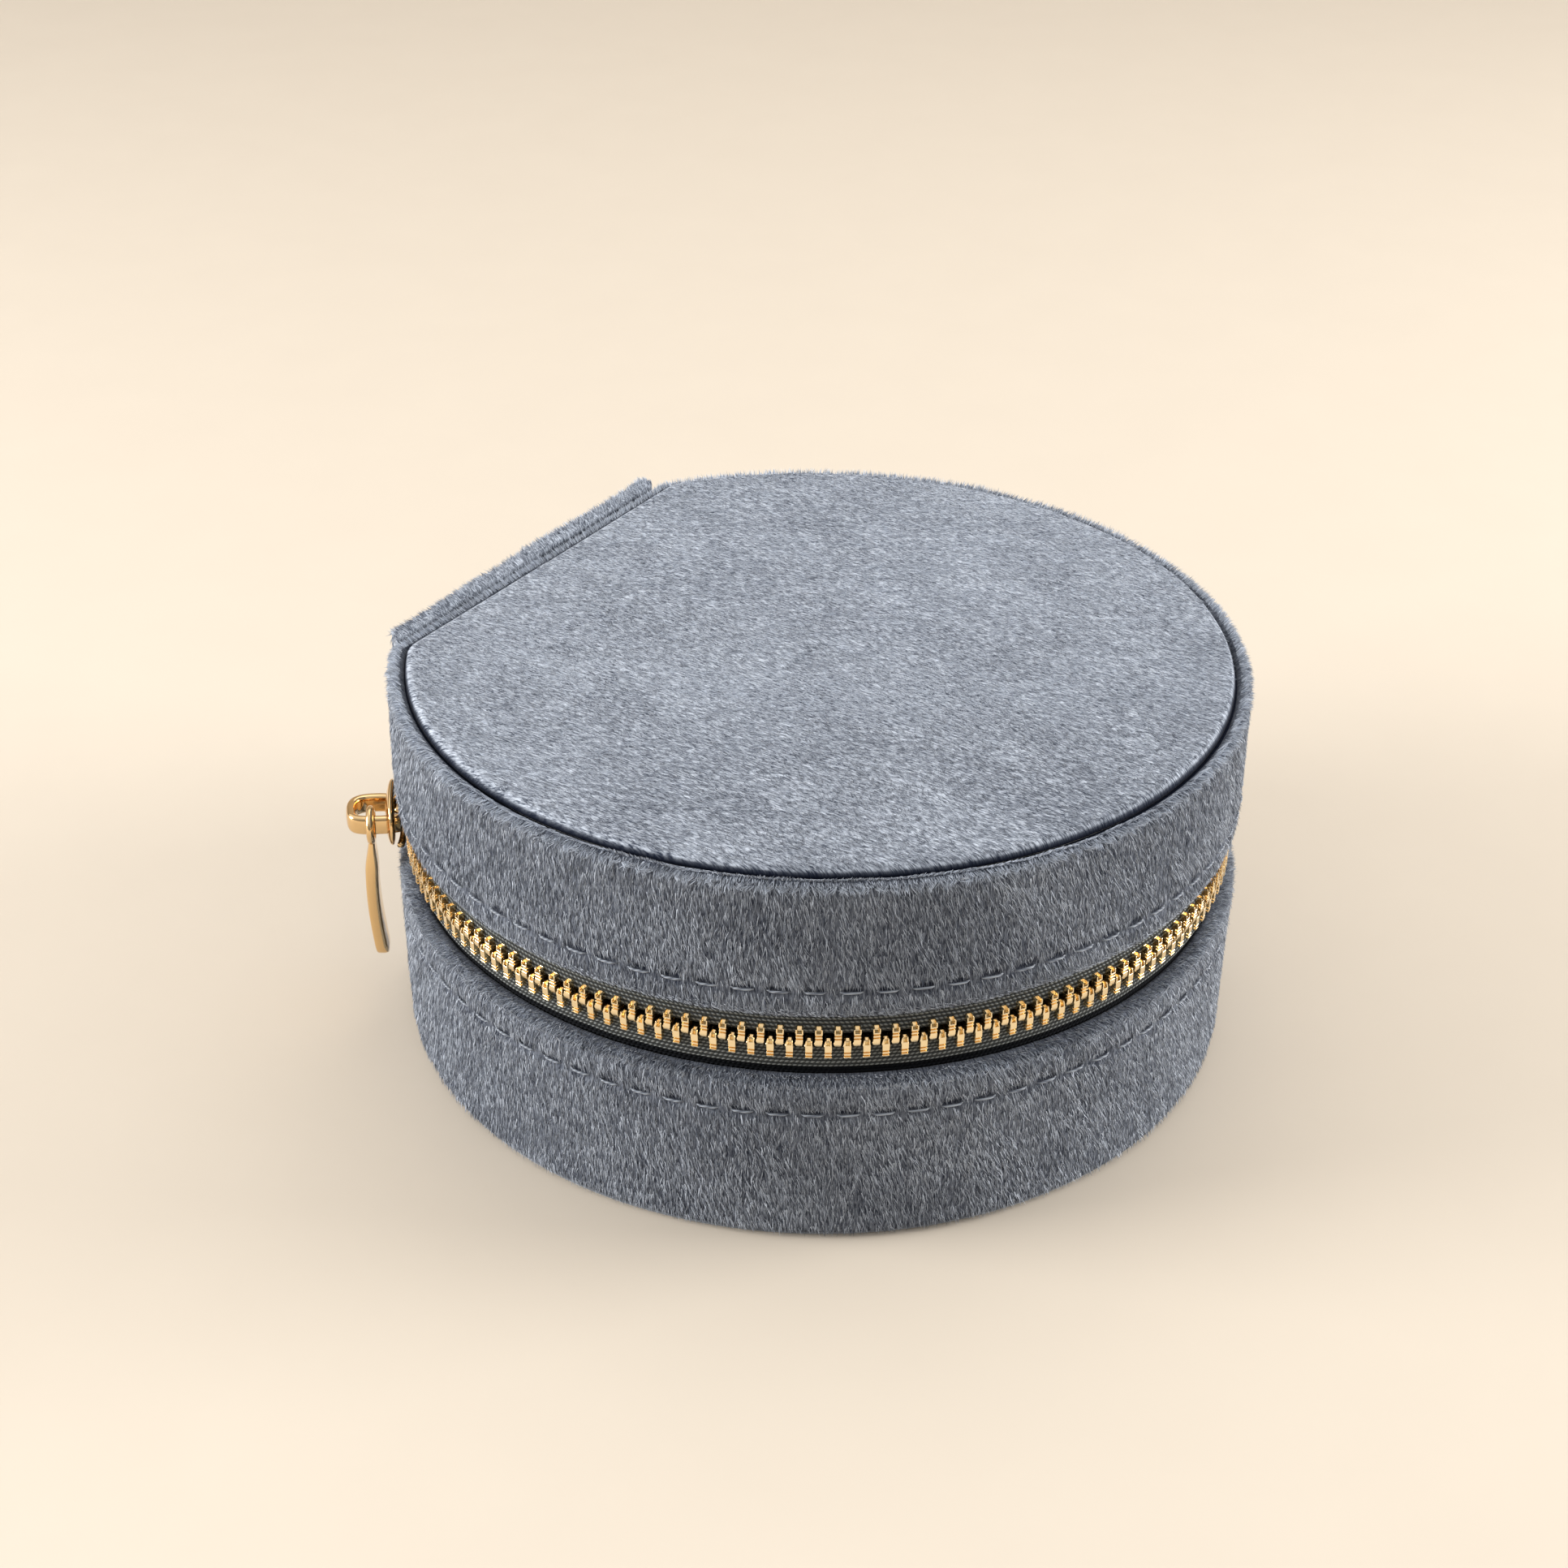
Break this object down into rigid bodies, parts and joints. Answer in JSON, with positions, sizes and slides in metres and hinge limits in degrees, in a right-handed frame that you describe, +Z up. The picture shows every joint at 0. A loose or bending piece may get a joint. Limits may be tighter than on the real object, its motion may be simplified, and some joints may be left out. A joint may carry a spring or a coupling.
{
  "type": "travel jewelry case",
  "caption": "Round velvet travel jewelry case with a flat hinged back, a metal zip round the side, ring rolls, dividers and a mirror in the lid.",
  "frame": {"origin": "on the round axis of the case, in the plane it stands on", "axes": "+Z up out of the lid, +Y out of the flat hinged back, -Y out of the front"},
  "size_m": [0.105, 0.1004, 0.0494],
  "materials": {
    "velvet_blue_grey": "short velvet pile, blue-grey",
    "grey_board": "pressed paper board, matt",
    "foam": "open-cell foam",
    "lining_suede": "flocked lining, matt",
    "roll_velvet": "velvet over foam",
    "mirror_glass": "silvered glass",
    "zip_tape": "herringbone woven tape, dark grey",
    "zip_metal": "polished light gold",
    "slider_metal": "polished light gold"
  },
  "bodies": {
    "base": {"base_bottom_cover": "velvet_blue_grey", "base_bottom_board": "grey_board", "base_side_board": "grey_board", "base_velvet_side": "velvet_blue_grey", "base_floor_pad": "foam", "base_lining": "lining_suede", "cross_divider": "lining_suede", "front_divider": "lining_suede", "side_divider_left": "lining_suede", "side_divider_right": "lining_suede", "ring_roll_foam": "foam", "hinge_strip_base": "velvet_blue_grey", "hinge_fold": "velvet_blue_grey", "hinge_inner_strip": "lining_suede", "lower_zip_tape": "zip_tape", "lower_zip_teeth": "zip_metal", "lower_top_stop": "zip_metal", "bottom_stop": "zip_metal", "ring_roll_1": "roll_velvet", "ring_roll_2": "roll_velvet", "ring_roll_3": "roll_velvet", "ring_roll_4": "roll_velvet"},
    "lid": {"lid_velvet_side": "velvet_blue_grey", "lid_side_board": "grey_board", "lid_top_panel": "velvet_blue_grey", "lid_foam_pad": "foam", "lid_top_board": "grey_board", "lid_lining": "lining_suede", "mirror_frame": "lining_suede", "mirror": "mirror_glass", "hinge_strip_lid": "velvet_blue_grey", "upper_zip_tape": "zip_tape", "upper_zip_teeth": "zip_metal", "upper_top_stop": "zip_metal"},
    "slider": {"slider": "slider_metal", "slider_bridge": "slider_metal"},
    "pull": {"pull_tab": "slider_metal"}
  },
  "joints": [
    {"name": "lid_hinge", "type": "hinge", "parent": "base", "child": "lid", "pos_m": [0, 0.045, 0.0268], "axis": [-1, 0, 0], "range_deg": [0, 105], "deforming": ["hinge_fold", "hinge_inner_strip", "lower_zip_tape", "upper_zip_tape"]},
    {"name": "slider_travel", "type": "hinge", "parent": "base", "child": "slider", "pos_m": [0, 0, 0.0272], "axis": [0, 0, 1], "range_deg": [0, 280.52], "deforming": ["lower_zip_teeth", "upper_zip_teeth"]},
    {"name": "pull_swing", "type": "hinge", "parent": "slider", "child": "pull", "pos_m": [-0.03595, 0.04269, 0.0272], "axis": [-0.6086, 0.7935, 0], "range_deg": [-45, 55]}
  ]
}
